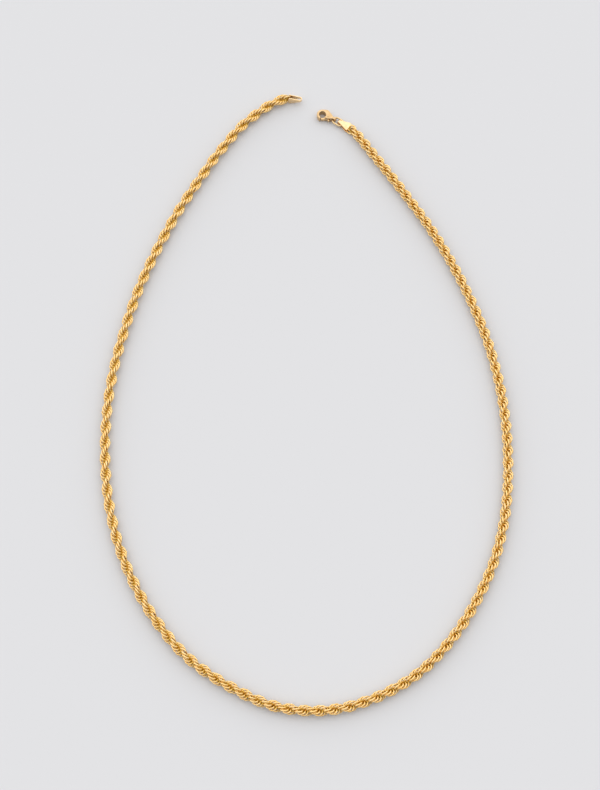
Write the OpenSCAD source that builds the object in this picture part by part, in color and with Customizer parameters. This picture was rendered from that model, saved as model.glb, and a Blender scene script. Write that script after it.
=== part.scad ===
// Rope chain necklace lying open on a table: a rope of two twisted strands of links, a folded
// end tag at each end, an oval jump ring and a claw clasp with a sprung lever.
// Millimetres. +Z up, the table at Z = 0, the clasp at the +Y end of the loop.

/* [Chain] */
// Thickness of the rope across its two strands
chain_w = 3.5; // [2.8:0.1:3.8]

/* [End tags] */
// Length of a tag from its bend to its wide end
tag_len = 4.5; // [4.2:0.1:6]
// Width of a tag at the end that takes the rope
tag_w = 3.0; // [2.4:0.1:3.4]
// Width of a tag at its bend
tag_neck_w = 1.0; // [0.7:0.1:1.3]
// Thickness of the strip that a tag is folded from
tag_t = 0.3; // [0.2:0.05:0.4]
// Radius of the corners at a tag's wide end
tag_corner_r = 0.5; // [0.2:0.1:0.8]
// Turn of the hook-side tag about Z, from +X to the way its bend points
hook_tag_turn = 146; // [135:1:150]
// Turn of the loop-side tag about Z
loop_tag_turn = -3; // [-8:1:4]

/* [Jump ring] */
// Thickness of the ring's wire
ring_wire = 0.6; // [0.4:0.05:0.7]
// Length of the ring's hole
ring_hole_len = 3.1; // [2.8:0.1:3.8]
// Width of the ring's hole
ring_hole_w = 1.7; // [1.6:0.1:2.2]
// Turn of the ring about Z
ring_turn = 147; // [140:1:154]
// Room round the ring's wire inside the tag and the eye
ring_play = 0.2; // [0.1:0.05:0.3]

/* [Clasp body] */
// Thickness of the clasp, from its lower to its upper face
clasp_t = 2.1; // [1.9:0.1:2.6]
// Distance from the middle of the eye to the middle of the hook
clasp_reach = 3.9; // [3.6:0.1:4.6]
// Radius of the hook's hole
hook_hole_r = 1.05; // [0.9:0.05:1.15]
// Width of the bar that the hook is bent from
hook_bar = 0.8; // [0.6:0.05:0.9]
// Radius of the hook bar's edges
hook_edge_r = 0.25; // [0.1:0.05:0.3]
// Thickness of the wall round the eye
eye_wall = 0.38; // [0.3:0.02:0.45]
// Width of the eye along its hole
eye_w = 0.8; // [0.6:0.1:0.9]
// How far the shoulder stands out from the middle line
shoulder_out = 2.05; // [1.9:0.05:2.3]
// Turn of the clasp about Z, from +X to the way its hook points
clasp_turn = 160; // [154:1:166]

/* [Lever] */
// Thickness of the lever
lever_t = 1.0; // [0.7:0.05:1.2]
// Gap between the lever and what it moves past
lever_gap = 0.1; // [0.08:0.01:0.14]
// Radius of the lever's round end at its rivet
lever_hub_r = 0.52; // [0.45:0.01:0.6]
// Radius of the knob that the thumb pushes
knob_r = 0.3; // [0.2:0.05:0.35]
// Diameter of the rivet
rivet_d = 0.5; // [0.4:0.05:0.6]
// Gap round the rivet in the lever
rivet_gap = 0.04; // [0.03:0.01:0.06]
// How far the rivet's ends lie below the clasp's faces
rivet_sink = 0.05; // [0.02:0.01:0.1]

/* [Hidden] */
gold = [0.93, 0.76, 0.42];
pale_gold = [0.96, 0.82, 0.50];

// Middle line of the rope on the table, from the loop-side end round to the hook-side end
route = [
  [-6, 101.5], [-18, 94], [-27, 83], [-34.5, 71], [-41.5, 58.5], [-47.5, 45.5], [-52.5, 32.5],
  [-56.5, 18.5], [-59.5, 4.5], [-61, -9.5], [-61, -23.5], [-59.5, -37.5], [-56, -51.5],
  [-50.5, -64.5], [-43, -76.5], [-33.5, -87], [-21.5, -95], [-8.5, -100.5], [6, -101.5],
  [19.5, -98], [32, -91], [42, -81], [50, -69], [56, -56], [59.5, -42.5], [61, -28.5],
  [61, -14], [59.5, 0], [56.5, 14], [52, 27.5], [46.5, 40.5], [40, 53], [32.5, 65],
  [24, 77.5], [14.5, 90.5]
];
// Points past the two ends that give the rope its direction there
route_lead_in = [8, 98];
route_lead_out = [3, 101];
// Rings of the swept rope between two points of the route, and its sides
route_steps = 2;
rope_sides = 8;
// Gap between the rope's end and a tag, and between the rope's tongue and the tag's leaves
end_gap = 0.25;
tongue_gap = 0.2;
// How deep the tongue reaches between the leaves, and where its shoulder starts
tongue_len = 1.1;
shoulder_run = 0.15;

rope_r = chain_w / 2;
ring_r = ring_wire / 2;
tag_gap = ring_wire + 2 * ring_play;
tag_in_r = tag_gap / 2;
tag_out_r = tag_in_r + tag_t;
tag_leaf = tag_len - tag_out_r;
tongue_r = tag_in_r - tongue_gap;
corner_steps = 5;

// Heights of the middles: the hook-side pieces share the clasp's, the loop-side tag stands on edge
clasp_z = clasp_t / 2;
loop_tag_z = tag_w / 2;

function dir(a) = [cos(a), sin(a)];
loop_end = route[0];
hook_end = route[len(route) - 1];
loop_bend = loop_end + (end_gap + tag_leaf) * dir(loop_tag_turn);
hook_bend = hook_end + (end_gap + tag_leaf) * dir(hook_tag_turn);

// Room that the eye gives the ring beyond what the tag gives it
eye_play = 0.05;
// The jump ring's end lies this far past the tag's bend, between the leaves
ring_reach = ring_hole_w / 2 + ring_wire / 2;
ring_turn_r = ring_hole_w / 2 + ring_r;
ring_straight = ring_hole_len - ring_hole_w;
ring_half = ring_straight / 2 + ring_turn_r;
ring_mid = hook_bend - ring_reach * dir(hook_tag_turn) + ring_half * dir(ring_turn);
// The ring is curved and turned where it runs through the eye, so the eye sits inside its end
ring_sag = ring_turn_r - sqrt(pow(ring_turn_r, 2) - pow(eye_w / 2, 2));
eye_inset = ring_sag / 2 + eye_w / 3 * sin(abs(clasp_turn - ring_turn));
eye_mid = ring_mid + (ring_half - eye_inset) * dir(ring_turn);
eye_r = ring_r + ring_play + eye_play;
eye_out_r = eye_r + eye_wall;

// Clasp in its own frame: eye at the origin, hook towards +X, lever on the +Y side
hook_out_r = hook_hole_r + hook_bar;
hook_mid = [clasp_reach, 0];
// The hook runs from inside the body, round the tip, to its point by the lever
hook_from = -170;
hook_to = 84;
// The pivot lies behind the hook and off the middle line
pivot_back = 0.3;
pivot_side = 0.35;
pivot = [clasp_reach - hook_out_r - pivot_back, pivot_side];
slot_h = lever_t + 2 * lever_gap;
slot_reach = lever_hub_r + 2 * lever_gap;
rivet_bore_r = rivet_d / 2 + rivet_gap;
cheek_bore_r = rivet_d / 2 + rivet_gap / 2;
// The lever meets the hook's point on a circle about the pivot, at this turn round the hook
lever_meets = 70;
lever_tip_r = norm(hook_mid + hook_hole_r * dir(lever_meets) - pivot) - lever_gap;
// The lever is a little slimmer than the hook's bar
lever_slim = [0.07, 0.13];
lever_in_r = hook_hole_r + lever_slim[0];
lever_out_r = hook_out_r - lever_slim[1];
// Turns round the hook at which the lever's arm leaves its hub, inside and outside
lever_turns = [162, 140];
// Place of the thumb knob from the pivot
knob_from_pivot = [-0.4, 0.85];
// Where the knob's neck leaves the hub, as shares of the hub's radius
neck_roots = [[-0.9, 0.2], [0.6, 0.55]];

// Point of a smooth curve through p1 and p2 at share t of the way, and its direction
function curve_at(p0, p1, p2, p3, t) =
  0.5 * (2 * p1 + (p2 - p0) * t + (2 * p0 - 5 * p1 + 4 * p2 - p3) * t * t
  + (3 * p1 - p0 - 3 * p2 + p3) * t * t * t);
function curve_dir(p0, p1, p2, p3, t) =
  let(d = (p2 - p0) + 2 * (2 * p0 - 5 * p1 + 4 * p2 - p3) * t + 3 * (3 * p1 - p0 - 3 * p2 + p3) * t * t)
  d / norm(d);

guide = concat([route_lead_in], route, [route_lead_out]);
// A station is a point, a direction, a radius and a height of the middle
body_stations = [
  for (i = [0:len(route) - 2])
    for (j = [0:route_steps - 1])
      let(t = j / route_steps)
      [curve_at(guide[i], guide[i + 1], guide[i + 2], guide[i + 3], t),
       curve_dir(guide[i], guide[i + 1], guide[i + 2], guide[i + 3], t), rope_r, rope_r]
];
last_station = [hook_end, dir(hook_tag_turn), rope_r, rope_r];

// Tongue of the rope's end at distance s from the end, towards the tag
function tongue(end, turn, s, way, z) = [end + s * dir(turn), way * dir(turn), tongue_r, z];
stations = concat(
  [tongue(loop_end, loop_tag_turn, end_gap + tongue_len, -1, loop_tag_z),
   tongue(loop_end, loop_tag_turn, shoulder_run, -1, loop_tag_z)],
  body_stations,
  [last_station,
   tongue(hook_end, hook_tag_turn, shoulder_run, 1, clasp_z),
   tongue(hook_end, hook_tag_turn, end_gap + tongue_len, 1, clasp_z)]
);

// One ring of the swept rope: a regular polygon with a flat side down
function ring_points(st) =
  let(side = [-st[1][1], st[1][0]], r = st[2] / cos(180 / rope_sides))
  [for (k = [0:rope_sides - 1])
    let(a = (k + 0.5) * 360 / rope_sides, h = r * cos(a))
    [st[0][0] + h * side[0], st[0][1] + h * side[1], st[3] + r * sin(a)]];

module rope_chain() {
  n = len(stations);
  m = rope_sides;
  points = [for (st = stations) each ring_points(st)];
  walls = [
    for (i = [0:n - 2])
      for (k = [0:m - 1])
        let(a = i * m + k, b = i * m + (k + 1) % m)
        each [[a, a + m, b], [b, a + m, b + m]]
  ];
  first_cap = [[for (k = [0:m - 1]) k]];
  last_cap = [[for (k = [0:m - 1]) (n - 1) * m + m - 1 - k]];
  color(gold) polyhedron(points, concat(walls, first_cap, last_cap));
}

// Outline of a tag from above, bend at the origin and wide end towards +X
function corner_arc(c, r, from) =
  [for (k = [0:corner_steps]) c + r * dir(from + 90 * k / corner_steps)];
tag_outline = concat(
  [[-2 * tag_out_r, tag_neck_w / 2], [-2 * tag_out_r, -tag_neck_w / 2], [0, -tag_neck_w / 2]],
  corner_arc([tag_leaf - tag_corner_r, -tag_w / 2 + tag_corner_r], tag_corner_r, -90),
  corner_arc([tag_leaf - tag_corner_r, tag_w / 2 - tag_corner_r], tag_corner_r, 0),
  [[0, tag_neck_w / 2]]
);

module tag_side() {
  difference() {
    union() {
      circle(r = tag_out_r, $fn = 48);
      translate([0, -tag_out_r]) square([tag_leaf, 2 * tag_out_r]);
    }
    circle(r = tag_in_r, $fn = 48);
    translate([0, -tag_in_r]) square([tag_leaf + 1, 2 * tag_in_r]);
  }
}

// A strip folded double round its bend, its two leaves above and below the middle
module folded_tag() {
  intersection() {
    rotate([90, 0, 0]) linear_extrude(tag_w + 1, center = true) tag_side();
    linear_extrude(2 * tag_out_r + 1, center = true) polygon(tag_outline);
  }
}

module loop_tag() {
  color(gold)
    translate([loop_bend[0], loop_bend[1], loop_tag_z])
      rotate([0, 0, loop_tag_turn + 180])
        rotate([90, 0, 0])
          folded_tag();
}

module hook_tag() {
  color(pale_gold)
    translate([hook_bend[0], hook_bend[1], clasp_z])
      rotate([0, 0, hook_tag_turn + 180])
        folded_tag();
}

module ring_end(way) {
  translate([way * ring_straight / 2, 0, 0])
    rotate([0, 0, way > 0 ? -90 : 90])
      rotate_extrude(angle = 180, $fn = 64)
        translate([ring_turn_r, 0])
          circle(r = ring_r, $fn = 32);
}

module jump_ring() {
  color(gold)
    translate([ring_mid[0], ring_mid[1], clasp_z])
      rotate([0, 0, ring_turn])
        union() {
          ring_end(1);
          ring_end(-1);
          for (way = [-1, 1])
            translate([0, way * ring_turn_r, 0])
              rotate([0, 90, 0])
                cylinder(r = ring_r, h = ring_straight, center = true, $fn = 32);
        }
}

// Places a piece of the clasp from its own frame
module on_clasp() {
  translate([eye_mid[0], eye_mid[1], clasp_z])
    rotate([0, 0, clasp_turn])
      children();
}

// Section of the hook's bar: a rectangle with round edges
function bar_corner(x, z, from) =
  [for (k = [0:corner_steps]) [x, z] + hook_edge_r * dir(from + 90 * k / corner_steps)];
bar_in = hook_hole_r + hook_edge_r;
bar_far = hook_out_r - hook_edge_r;
bar_top = clasp_t / 2 - hook_edge_r;
bar_section = concat(
  bar_corner(bar_far, bar_top, 0), bar_corner(bar_in, bar_top, 90),
  bar_corner(bar_in, -bar_top, 180), bar_corner(bar_far, -bar_top, 270)
);

// Spine of the clasp from above, narrow at the eye and broad at the shoulder
spine_start = eye_w * 0.375;
shoulder_x = clasp_reach - 1.2;
shoulder_round = 0.3;
shoulder_drop = 0.06;
// Where the spine's lever side ends, from the pivot in shares of the hub's radius
cheek_corners = [[1.6, 1.2], [-0.6, 0.95]];
spine_outline = [
  [spine_start, -eye_w / 2],
  [shoulder_x - shoulder_round, -shoulder_out + shoulder_drop],
  [shoulder_x, -shoulder_out],
  [shoulder_x + shoulder_round, -shoulder_out + shoulder_drop / 2],
  [clasp_reach, -hook_out_r], [clasp_reach, 0],
  pivot + lever_hub_r * cheek_corners[0], pivot + lever_hub_r * cheek_corners[1],
  [spine_start, eye_w / 2]
];

module clasp_body() {
  color(gold)
    on_clasp()
      difference() {
        union() {
          translate(hook_mid)
            rotate([0, 0, hook_from])
              rotate_extrude(angle = hook_to - hook_from, $fn = 96)
                polygon(bar_section);
          difference() {
            linear_extrude(clasp_t, center = true) polygon(spine_outline);
            translate(hook_mid)
              cylinder(r = bar_in, h = clasp_t + 1, center = true, $fn = 96);
          }
          rotate([90, 0, 0]) cylinder(r = eye_out_r, h = eye_w, center = true, $fn = 64);
        }
        // Hole of the eye
        rotate([90, 0, 0]) cylinder(r = eye_r, h = clasp_reach, center = true, $fn = 64);
        // Slot for the lever, open on the lever's side
        translate([pivot[0] - slot_reach, pivot[1] - slot_reach, -slot_h / 2])
          cube([clasp_reach - pivot[0] + lever_hub_r, clasp_reach, slot_h]);
        // Way of the lever's tip past the hook's point
        translate([pivot[0], pivot[1], -clasp_t])
          intersection() {
            cylinder(r = lever_tip_r + lever_gap, h = 2 * clasp_t, $fn = 96);
            translate([clasp_reach - pivot[0], hook_hole_r / 2, 0])
              cube([clasp_reach, clasp_reach, 2 * clasp_t]);
          }
        translate([pivot[0], pivot[1], 0])
          cylinder(r = cheek_bore_r, h = clasp_t + 1, center = true, $fn = 32);
      }
}

module lever_arm() {
  intersection() {
    difference() {
      translate(hook_mid) circle(r = lever_out_r, $fn = 96);
      translate(hook_mid) circle(r = lever_in_r, $fn = 96);
    }
    translate([pivot[0], pivot_side]) square([clasp_reach, clasp_reach]);
    translate(pivot) circle(r = lever_tip_r, $fn = 96);
  }
}

module clasp_lever() {
  knob = pivot + knob_from_pivot;
  color(pale_gold)
    on_clasp()
      difference() {
        linear_extrude(lever_t, center = true)
          union() {
            lever_arm();
            translate(pivot) circle(r = lever_hub_r, $fn = 48);
            polygon([
              pivot + [0, -lever_hub_r], hook_mid + lever_in_r * dir(lever_turns[0]),
              hook_mid + lever_out_r * dir(lever_turns[1]), pivot + [0, lever_hub_r]
            ]);
            translate(knob) circle(r = knob_r, $fn = 32);
            polygon([
              pivot + lever_hub_r * neck_roots[0], pivot + lever_hub_r * neck_roots[1],
              knob + [knob_r, 0], knob + [-knob_r, 0]
            ]);
          }
        translate([pivot[0], pivot[1], 0])
          cylinder(r = rivet_bore_r, h = lever_t + 1, center = true, $fn = 32);
      }
}

module clasp_rivet() {
  color(pale_gold)
    on_clasp()
      translate([pivot[0], pivot[1], 0])
        cylinder(r = rivet_d / 2, h = clasp_t - 2 * rivet_sink, center = true, $fn = 32);
}

rope_chain();
loop_tag();
hook_tag();
jump_ring();
clasp_body();
clasp_lever();
clasp_rivet();
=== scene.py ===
# Rope chain necklace: the looks of the gold rope, its end tags, jump ring and claw clasp
import bpy
import math
import numpy as np
from mathutils import Matrix, Vector


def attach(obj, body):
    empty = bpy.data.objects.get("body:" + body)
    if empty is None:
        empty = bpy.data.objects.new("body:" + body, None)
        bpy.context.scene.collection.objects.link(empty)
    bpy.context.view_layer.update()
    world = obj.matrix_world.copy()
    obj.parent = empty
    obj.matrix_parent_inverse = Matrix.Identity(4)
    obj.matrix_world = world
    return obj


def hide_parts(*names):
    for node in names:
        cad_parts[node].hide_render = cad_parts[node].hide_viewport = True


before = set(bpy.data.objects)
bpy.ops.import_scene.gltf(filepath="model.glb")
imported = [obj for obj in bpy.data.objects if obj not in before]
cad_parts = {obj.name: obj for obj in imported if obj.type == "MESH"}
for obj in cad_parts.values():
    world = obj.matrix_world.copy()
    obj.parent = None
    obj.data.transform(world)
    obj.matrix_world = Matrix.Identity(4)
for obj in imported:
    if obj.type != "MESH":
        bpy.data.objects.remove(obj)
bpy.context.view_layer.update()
mm = 0.001  # everything below is given in millimetres and degrees, and built in metres
scene = bpy.context.scene
print("frame loaded:", ", ".join(sorted(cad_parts)))


# Small helpers

def deselectAll():
    if bpy.context.object and bpy.context.object.mode != "OBJECT":
        bpy.ops.object.mode_set(mode="OBJECT")
    bpy.ops.object.select_all(action="DESELECT")


def pick(*chosen):
    # only these are selected, and the first of them is active
    deselectAll()
    for obj in chosen:
        obj.select_set(True)
    bpy.context.view_layer.objects.active = chosen[0]


def applyModifier(obj, kind, **settings):
    pick(obj)
    modifier = obj.modifiers.new(kind.title(), kind)
    for name, value in settings.items():
        setattr(modifier, name, value)
    bpy.ops.object.modifier_apply(modifier=modifier.name)


def toMetres(obj):
    # the scale goes into the mesh, so the object itself stays at the origin, unturned and unscaled
    obj.data.transform(Matrix.Scale(mm, 4))
    obj.data.update()


def linear(hexColour):
    # sRGB hex to linear light, as the shader wants it
    values = []
    for i in (0, 2, 4):
        c = int(hexColour[i:i + 2], 16) / 255
        values.append(c / 12.92 if c <= 0.04045 else ((c + 0.055) / 1.055) ** 2.4)
    return (*values, 1.0)


def emptyTree(owner):
    # the node tree of a new material or world, with nothing in it
    owner.use_nodes = True
    owner.node_tree.nodes.clear()
    return owner.node_tree


def addNode(tree, kind, settings=None, links=None):
    node = tree.nodes.new(kind)
    for name, value in (settings or {}).items():
        if name in node.inputs:
            node.inputs[name].default_value = value
        else:
            setattr(node, name, value)
    for name, source in (links or {}).items():
        tree.links.new(source, node.inputs[name])
    return node


# Camera: a long lens 68 degrees above the table

view = {
    "target": (-1.9, -3.4, 0.0),  # on the table, in the middle of the picture
    "distance": 535.3,  # from there to the camera
    "elevation": 68.0,
    "lens": 79.06,
    "sensor": 36.0,  # along the picture's long side
    "clip": (10, 20000),
}
camera = bpy.data.cameras.new("camera")
camera.lens = view["lens"]
camera.sensor_width = view["sensor"]
camera.clip_start = view["clip"][0] * mm
camera.clip_end = view["clip"][1] * mm
cameraObject = bpy.data.objects.new("camera", camera)
scene.collection.objects.link(cameraObject)
tilt = math.radians(view["elevation"])
back = Vector((0, -math.cos(tilt), math.sin(tilt)))
cameraObject.location = (Vector(view["target"]) + view["distance"] * back) * mm
cameraObject.rotation_euler = back.to_track_quat("Z", "Y").to_euler()
scene.camera = cameraObject
print("camera set")


# Materials: 14 carat yellow gold in four finishes. Each has two tones, from deep to bright, a range
# of roughness called gloss, the sizes of its rubbing marks and patches, and its bump's strength.

polish = {
    "noiseRange": (0.3, 0.7),  # nearly all of a noise's values lie between these
    "markDetail": 3.0,
    "markRoughness": 0.6,
    "markDepth": 0.01,  # height of the bumps at full strength
    "patchDetail": 1.0,
}


def goldMaterial(name, look):
    # polished gold is a clear mirror whose colour is all in what it reflects. The marks of rubbing
    # and tumbling blur it here and there, and are drawn coarser than real ones so that they show.
    material = bpy.data.materials.new(name)
    tree = emptyTree(material)
    noiseLow, noiseHigh = polish["noiseRange"]
    place = addNode(tree, "ShaderNodeTexCoord").outputs["Object"]
    marks = addNode(tree, "ShaderNodeTexNoise",
                    {"Scale": 1 / (look["markSize"] * mm), "Detail": polish["markDetail"],
                     "Roughness": polish["markRoughness"]},
                    {"Vector": place}).outputs["Fac"]
    patches = addNode(tree, "ShaderNodeTexNoise",
                      {"Scale": 1 / (look["patchSize"] * mm), "Detail": polish["patchDetail"]},
                      {"Vector": place}).outputs["Fac"]
    shade = addNode(tree, "ShaderNodeMapRange",
                    {"From Min": noiseLow, "From Max": noiseHigh}, {"Value": patches})
    tone = addNode(tree, "ShaderNodeMix",
                   {"data_type": "RGBA", "A": linear(look["deep"]), "B": linear(look["bright"])},
                   {"Factor": shade.outputs["Result"]})
    colour = tone.outputs["Result"]
    if "paintedShadeTone" in look:
        # painted shade: near the rope's middle line the gold is mixed towards a darker tone, which
        # stands in for the shade between the links
        outward = addNode(tree, "ShaderNodeAttribute", {"attribute_name": "outward"})
        paintedShadeFade = addNode(tree, "ShaderNodeMapRange",
                          {"interpolation_type": "SMOOTHSTEP",
                           "From Min": look["paintedShadeFade"][0], "From Max": look["paintedShadeFade"][1]},
                          {"Value": outward.outputs["Fac"]})
        paintedShadeMix = addNode(tree, "ShaderNodeMix",
                       {"data_type": "RGBA", "A": linear(look["paintedShadeTone"])},
                       {"Factor": paintedShadeFade.outputs["Result"], "B": colour})
        colour = paintedShadeMix.outputs["Result"]
    gloss = addNode(tree, "ShaderNodeMapRange",
                    {"From Min": noiseLow, "From Max": noiseHigh,
                     "To Min": look["gloss"][0], "To Max": look["gloss"][1]},
                    {"Value": marks})
    bump = addNode(tree, "ShaderNodeBump",
                   {"Strength": look["bump"], "Distance": polish["markDepth"] * mm},
                   {"Height": marks})
    metal = addNode(tree, "ShaderNodeBsdfPrincipled", {"Metallic": 1.0},
                    {"Base Color": colour, "Roughness": gloss.outputs["Result"],
                     "Normal": bump.outputs["Normal"]})
    addNode(tree, "ShaderNodeOutputMaterial", links={"Surface": metal.outputs["BSDF"]})
    return material


# drawn wire is the smoothest. Near the rope's middle line it gets painted shade, a darker gold that
# stands in for the shade between the links; the two fade values give how far out of the rope, as a
# share of its half width, the painted shade begins to fade and is gone
ropeGold = goldMaterial("drawnGoldWireWithPaintedShade", {
    "deep": "FCD48B", "bright": "FDDDA2", "paintedShadeTone": "D5AD4A", "paintedShadeFade": (0.3, 0.65),
    "gloss": (0.08, 0.16), "markSize": 0.12, "patchSize": 2.4, "bump": 0.12,
})
# the ring rubs on the tag and the clasp, which dulls it a little
ringGold = goldMaterial("polishedGoldRoundWire", {
    "deep": "DEBE8C", "bright": "EAD0A2", "gloss": (0.16, 0.26),
    "markSize": 0.12, "patchSize": 2.4, "bump": 0.12,
})
# stamped strip is flat and pale, with soft broad reflections
tagGold = goldMaterial("polishedStampedGoldStrip", {
    "deep": "F4D09A", "bright": "FADEB2", "gloss": (0.16, 0.28),
    "markSize": 0.15, "patchSize": 1.6, "bump": 0.12,
})
# cast gold keeps a faint grain, so it is the dullest
claspGold = goldMaterial("polishedCastGold", {
    "deep": "D4B080", "bright": "DFC094", "gloss": (0.2, 0.32),
    "markSize": 0.18, "patchSize": 1.8, "bump": 0.2,
})
print("gold materials made")


# Rope: slightly oval rings of round wire, each threaded through its neighbours, laid along the
# route in two strands. Each ring is turned a little more than half round from the one before.

rope = {
    "halfWidth": 1.72,  # of the rope, from its middle line to the rims of its links
    "lift": 0.05,  # of the middle line beyond its half width, so that loose links clear the floor
    "linkPitch": 0.375,  # along the route from one link to the next, which lies on the other strand
    "wire": 0.43,
    "ringRadius": 1.11,  # across the rope, to the middle of the wire
    "stretch": 1.13,  # how much longer a link is along the rope than across
    "offset": 0.4,  # of a link's middle from the rope's middle line
    "lean": (-0.35, 0.92, 0.15),  # a link's own axis: outwards, round the rope, along the rope
    "steps": 3,  # of each quarter of a link
    "wireSteps": 1,  # the bevel's resolution, which gives the wire six sides
    # share of the length and the run of half a turn of the strands, which is tighter on the right
    "halfTurns": ((0.0, 5.35), (0.08, 5.25), (0.3, 5.12), (0.42, 4.82), (0.52, 4.38), (0.7, 4.03),
                  (0.85, 3.9), (1.0, 3.78)),
    "tuck": 1.25,  # of the last links past the route's ends, between the leaves of the tags
    "planeAtLoop": 90.0,  # of the last link there, upright between the leaves of a tag on edge
    "planeAtHook": 0.0,  # flat between the leaves of a tag that lies flat
    "heightAtHook": 1.05,  # of the rope's middle line there
    "rise": 1.8,  # length over which the links climb out of the flat tag
    "looseTurn": 2.5,  # how unevenly the links are turned
    "looseLean": 0.03,  # how unevenly they lean, on each axis of lean
    "seed": 7,
    "routeSteps": 40,  # from one point of the route to the next
    "frameStep": 0.3,  # before and after a place on the route, to find the way it runs there
}

# the same points as the CAD rope's, from the loop-side end round to the hook-side end
ropeRoute = [
    (-6, 101.5), (-18, 94), (-27, 83), (-34.5, 71), (-41.5, 58.5), (-47.5, 45.5), (-52.5, 32.5),
    (-56.5, 18.5), (-59.5, 4.5), (-61, -9.5), (-61, -23.5), (-59.5, -37.5), (-56, -51.5),
    (-50.5, -64.5), (-43, -76.5), (-33.5, -87), (-21.5, -95), (-8.5, -100.5), (6, -101.5),
    (19.5, -98), (32, -91), (42, -81), (50, -69), (56, -56), (59.5, -42.5), (61, -28.5),
    (61, -14), (59.5, 0), (56.5, 14), (52, 27.5), (46.5, 40.5), (40, 53), (32.5, 65),
    (24, 77.5), (14.5, 90.5),
]
routeLeadIn, routeLeadOut = (8, 98), (3, 101)  # past the ends, where they only steer the curve


def smoothRoute():
    # a curve through all the points in short straight steps, and how far along it each step starts
    guide = np.array([routeLeadIn, *ropeRoute, routeLeadOut], float)
    points = []
    for p0, p1, p2, p3 in zip(guide, guide[1:], guide[2:], guide[3:]):
        for t in np.arange(rope["routeSteps"]) / rope["routeSteps"]:
            points.append(0.5 * (2 * p1 + (p2 - p0) * t + (2 * p0 - 5 * p1 + 4 * p2 - p3) * t ** 2
                                 + (3 * p1 - p0 - 3 * p2 + p3) * t ** 3))
    points.append(guide[-2])
    points = np.array(points)
    along = np.concatenate([[0], np.cumsum(np.linalg.norm(np.diff(points, axis=0), axis=1))])
    return points, along


def routePoint(points, along, s):
    return np.array([np.interp(s, along, points[:, axis]) for axis in (0, 1)])


def routeFrame(points, along, s, height):
    # at s: sideways to the left of the way, up and onwards, as a matrix in millimetres
    step = rope["frameStep"]
    way = routePoint(points, along, s + step) - routePoint(points, along, s - step)
    onward = Vector((*way, 0)).normalized()
    up = Vector((0, 0, 1))
    side = up.cross(onward)
    made = Matrix((side, up, onward)).transposed().to_4x4()
    made.translation = Vector((*routePoint(points, along, s), height))
    return made


def leaningRing(lean):
    # a link's own axes in the rope's turning frame, whose first axis points outwards
    axis = Vector(lean).normalized()
    outward = (Vector((1, 0, 0)) - axis.x * axis).normalized()
    made = Matrix((outward, axis.cross(outward), axis)).transposed().to_4x4()
    made.translation = Vector((rope["offset"], 0, 0))
    return made


def makeLink():
    # one soldered link: a bezier circle drawn out to an oval and bevelled to round wire
    deselectAll()
    bpy.ops.curve.primitive_bezier_circle_add(radius=rope["ringRadius"], location=(0, 0, 0))
    link = bpy.context.object
    bpy.ops.transform.resize(value=(1, rope["stretch"], 1), center_override=(0, 0, 0))
    bpy.ops.object.transform_apply(location=True, rotation=True, scale=True)
    link.data.resolution_u = rope["steps"]
    link.data.bevel_depth = rope["wire"] / 2
    link.data.bevel_resolution = rope["wireSteps"]
    bpy.ops.object.convert(target="MESH")
    link = bpy.context.object
    # how far out of the rope each point lies, from 0 at its middle line to 1 at its rim: the mask
    # of the rope's painted shade
    places = [leaningRing(rope["lean"]) @ vertex.co for vertex in link.data.vertices]
    outward = link.data.attributes.new("outward", "FLOAT", "POINT")
    outward.data.foreach_set("value", [math.hypot(v.x, v.y) / rope["halfWidth"] for v in places])
    return link


def placedLink(link, place):
    mesh = link.data.copy()
    mesh.transform(place)
    return bpy.data.objects.new("link", mesh)


def linkTurns(spots, length):
    # how far each link is turned round the rope: half a turn and a bit more than the one before,
    # with the bits evened out so that both last links fit between the leaves of their tags
    halfTurn = 180
    across = leaningRing(rope["lean"]).col[0]
    planeTurn = math.degrees(math.atan2(across.y, across.x))
    shares, runs = zip(*rope["halfTurns"])
    twist = np.cumsum(halfTurn * rope["linkPitch"] / np.interp(spots / length, shares, runs))
    twist -= twist[0]
    halves = halfTurn * np.arange(len(spots))
    wanted = rope["planeAtHook"] - rope["planeAtLoop"]
    wanted += halfTurn * round((twist[-1] - wanted) / halfTurn)
    return rope["planeAtLoop"] - planeTurn + halves + twist * wanted / twist[-1]


def makeRope():
    points, along = smoothRoute()
    length = along[-1]
    link = makeLink()
    reach = rope["ringRadius"] * rope["stretch"] + rope["wire"] / 2 - rope["tuck"]
    count = int((length - 2 * reach) / rope["linkPitch"]) + 1
    spots = np.linspace(reach, length - reach, count)
    turns = linkTurns(spots, length)
    heights = np.interp(length - reach - spots, (0, rope["rise"]),
                        (rope["heightAtHook"], rope["halfWidth"] + rope["lift"]))
    chance = np.random.default_rng(rope["seed"])
    copies = []
    for s, turn, height in zip(spots, turns, heights):
        lean = [a + b for a, b in zip(rope["lean"], chance.normal(0, rope["looseLean"], 3))]
        loose = chance.normal(0, rope["looseTurn"])
        spun = Matrix.Rotation(math.radians(turn + loose), 4, "Z")
        place = routeFrame(points, along, s, height) @ spun @ leaningRing(lean)
        copies.append(placedLink(link, place))
    bpy.data.objects.remove(link)
    for copy in copies:
        scene.collection.objects.link(copy)
    pick(*copies)
    bpy.ops.object.join()
    whole = bpy.context.object
    whole.name = whole.data.name = "rope_links"
    bpy.ops.object.shade_smooth()
    print("rope made of", len(copies), "links,", len(whole.data.polygons), "faces,",
          round(length, 1), "mm")
    return whole


ropeLinks = makeRope()
toMetres(ropeLinks)
ropeLinks.data.materials.append(ropeGold)
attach(ropeLinks, "necklace")
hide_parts("rope_chain")


# Tags, clasp and lever: the CAD forms with the soft edges of stamped and cast gold

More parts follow.
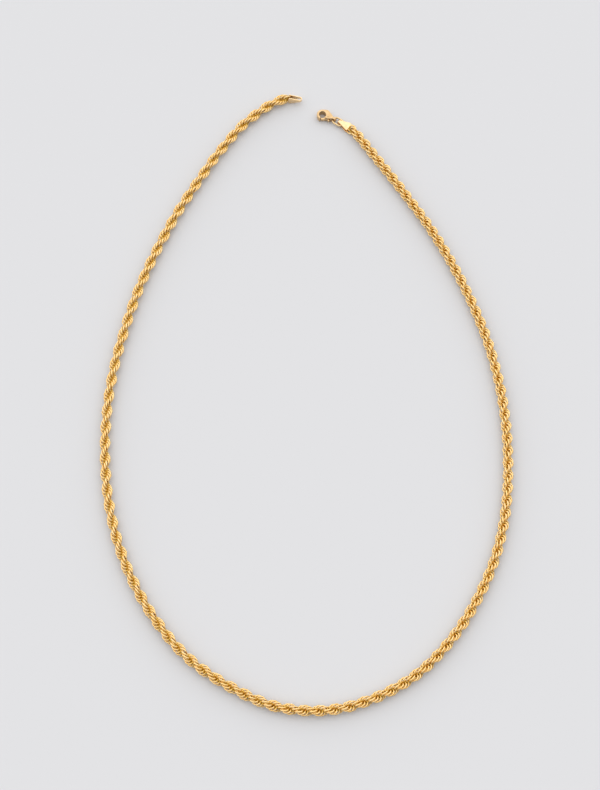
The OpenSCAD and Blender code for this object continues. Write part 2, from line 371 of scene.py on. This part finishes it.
cadMesh = {
    "weld": 0.0005,  # distance within which the points of the loose triangles are merged
    "flat": 1,  # bend below which two faces are one flat face
}
tag = {
    "edge": 0.06,  # rounding of the strip's stamped edges
    "edgeSteps": 3,
    "sharp": 40,  # bend above which an edge is rounded
    "smooth": 35,  # bend below which two faces are shaded as one
}
casting = {
    "grain": 0.05,  # voxel of the cast pieces, small against their edges
    "softening": 5,  # rounds of smoothing
    "softeningShare": 0.5,
}


def cadCopy(node, name):
    # a merged copy of a CAD node's loose triangles, in millimetres
    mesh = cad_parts[node].data.copy()
    mesh.materials.clear()
    mesh.transform(Matrix.Scale(1 / mm, 4))
    piece = bpy.data.objects.new(name, mesh)
    mesh.name = name
    scene.collection.objects.link(piece)
    pick(piece)
    bpy.ops.object.mode_set(mode="EDIT")
    bpy.ops.mesh.select_all(action="SELECT")
    bpy.ops.mesh.remove_doubles(threshold=cadMesh["weld"])
    bpy.ops.mesh.dissolve_limited(angle_limit=math.radians(cadMesh["flat"]))
    bpy.ops.mesh.normals_make_consistent(inside=False)
    bpy.ops.object.mode_set(mode="OBJECT")
    return piece


def dress(piece, node, body, material):
    # the piece stands for its CAD node and rides on its body
    toMetres(piece)
    piece.data.materials.clear()
    piece.data.materials.append(material)
    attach(piece, body)
    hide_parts(node)


def stampedPiece(node, name, body, material):
    piece = cadCopy(node, name)
    applyModifier(piece, "BEVEL", width=tag["edge"], segments=tag["edgeSteps"],
                  limit_method="ANGLE", angle_limit=math.radians(tag["sharp"]))
    pick(piece)
    bpy.ops.object.shade_smooth_by_angle(angle=math.radians(tag["smooth"]))
    dress(piece, node, body, material)


def castPiece(node, name, body, material):
    piece = cadCopy(node, name)
    applyModifier(piece, "REMESH", mode="VOXEL", voxel_size=casting["grain"],
                  use_smooth_shade=True)
    applyModifier(piece, "SMOOTH", factor=casting["softeningShare"],
                  iterations=casting["softening"])
    dress(piece, node, body, material)
    print(name, "has", len(piece.data.polygons), "faces")


stampedPiece("loop_tag", "loop_tag_strip", "necklace", tagGold)
stampedPiece("hook_tag", "hook_tag_strip", "necklace", tagGold)
castPiece("clasp_body", "clasp_body_cast", "necklace", claspGold)
castPiece("clasp_lever", "clasp_lever_cast", "lever", claspGold)
for name, material in (("jump_ring", ringGold), ("clasp_rivet", claspGold)):
    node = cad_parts[name]
    node.data.materials.clear()
    node.data.materials.append(material)
print("tags and clasp made")


# Floor and light: a pale sheet in a white room that is bright behind the necklace and overhead,
# and dim low down in front of it

studio = {
    "floor": "D4D4D6",
    "floorSize": 4000,
    "floorRoughness": 0.9,
    "floorSpecular": 0.2,
    "walls": "FFFFFF",
    "roomLow": 0.3,  # strength of the room's light on its dim side
    "roomHigh": 1.42,  # and on its bright side
    "brightSide": (-0.12, 0.8, 0.58),  # towards the back of the table, a little left, and above
    "dusk": (-0.6, 0.6),  # where the room goes from low to high, as the cosine from its bright side
}


def makeFloor():
    deselectAll()
    bpy.ops.mesh.primitive_plane_add(size=studio["floorSize"] * mm, location=(0, 0, 0))
    floor = bpy.context.object
    floor.name = "floor"
    # matte paper scatters nearly all its light, and has only a trace of gloss
    material = bpy.data.materials.new("matteWhitePaper")
    tree = emptyTree(material)
    paper = addNode(tree, "ShaderNodeBsdfPrincipled",
                    {"Base Color": linear(studio["floor"]), "Roughness": studio["floorRoughness"],
                     "Specular IOR Level": studio["floorSpecular"]})
    addNode(tree, "ShaderNodeOutputMaterial", links={"Surface": paper.outputs["BSDF"]})
    floor.data.materials.append(material)


def makeRoom():
    world = bpy.data.worlds.new("room")
    tree = emptyTree(world)
    way = addNode(tree, "ShaderNodeTexCoord")
    facing = addNode(tree, "ShaderNodeVectorMath", {"operation": "DOT_PRODUCT"})
    seen, bright = facing.inputs[:2]
    tree.links.new(way.outputs["Generated"], seen)
    bright.default_value = Vector(studio["brightSide"]).normalized()
    strength = addNode(tree, "ShaderNodeMapRange",
                       {"interpolation_type": "SMOOTHSTEP",
                        "From Min": studio["dusk"][0], "From Max": studio["dusk"][1],
                        "To Min": studio["roomLow"], "To Max": studio["roomHigh"]},
                       {"Value": facing.outputs["Value"]})
    room = addNode(tree, "ShaderNodeBackground", {"Color": linear(studio["walls"])},
                   {"Strength": strength.outputs["Result"]})
    addNode(tree, "ShaderNodeOutputWorld", links={"Surface": room.outputs["Background"]})
    scene.world = world
    scene.view_settings.view_transform = "Standard"


makeFloor()
makeRoom()
print("studio set")
